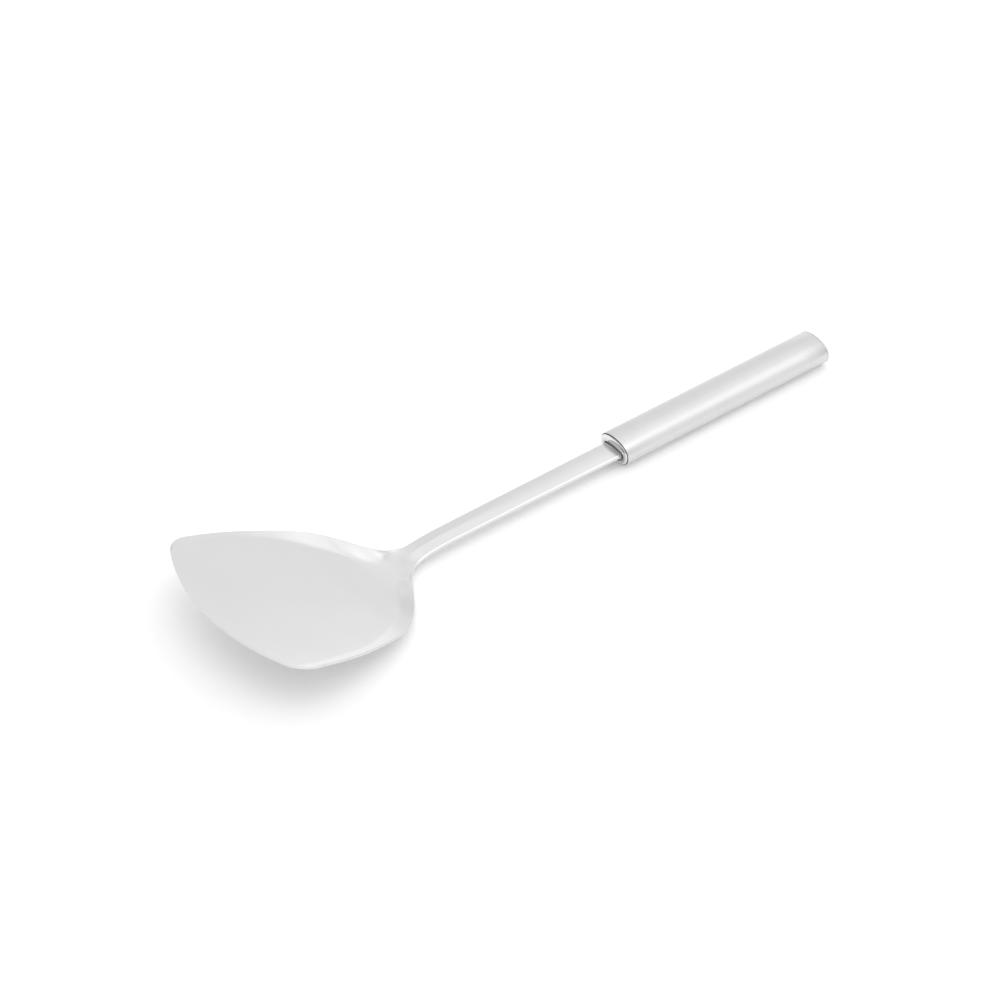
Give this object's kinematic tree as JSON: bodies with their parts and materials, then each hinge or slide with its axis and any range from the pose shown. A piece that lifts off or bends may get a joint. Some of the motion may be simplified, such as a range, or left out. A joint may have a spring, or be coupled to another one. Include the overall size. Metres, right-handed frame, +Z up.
{
  "type": "wok spatula",
  "caption": "Stainless steel wok spatula: a wide, shallow dished blade with a curved front edge, a slim crowned stem and a brushed oval tube handle with a polished front ferrule.",
  "frame": {"origin": "middle of the overall length, on the surface that the handle and the blade's heel lie on", "axes": "+X towards the handle's far end, +Z up, the blade's front edge towards -X"},
  "size_m": [0.3704, 0.1084, 0.0334],
  "materials": {
    "satin_steel": "satin",
    "brushed_steel": "brushed round the handle",
    "polished_steel": "polished",
    "dark_plastic": "matte"
  },
  "bodies": {
    "root": {"blade_and_stem": "satin_steel", "handle_tube": "brushed_steel", "front_ferrule": "polished_steel", "tang_support": "dark_plastic", "end_cap": "brushed_steel"}
  },
  "joints": []
}
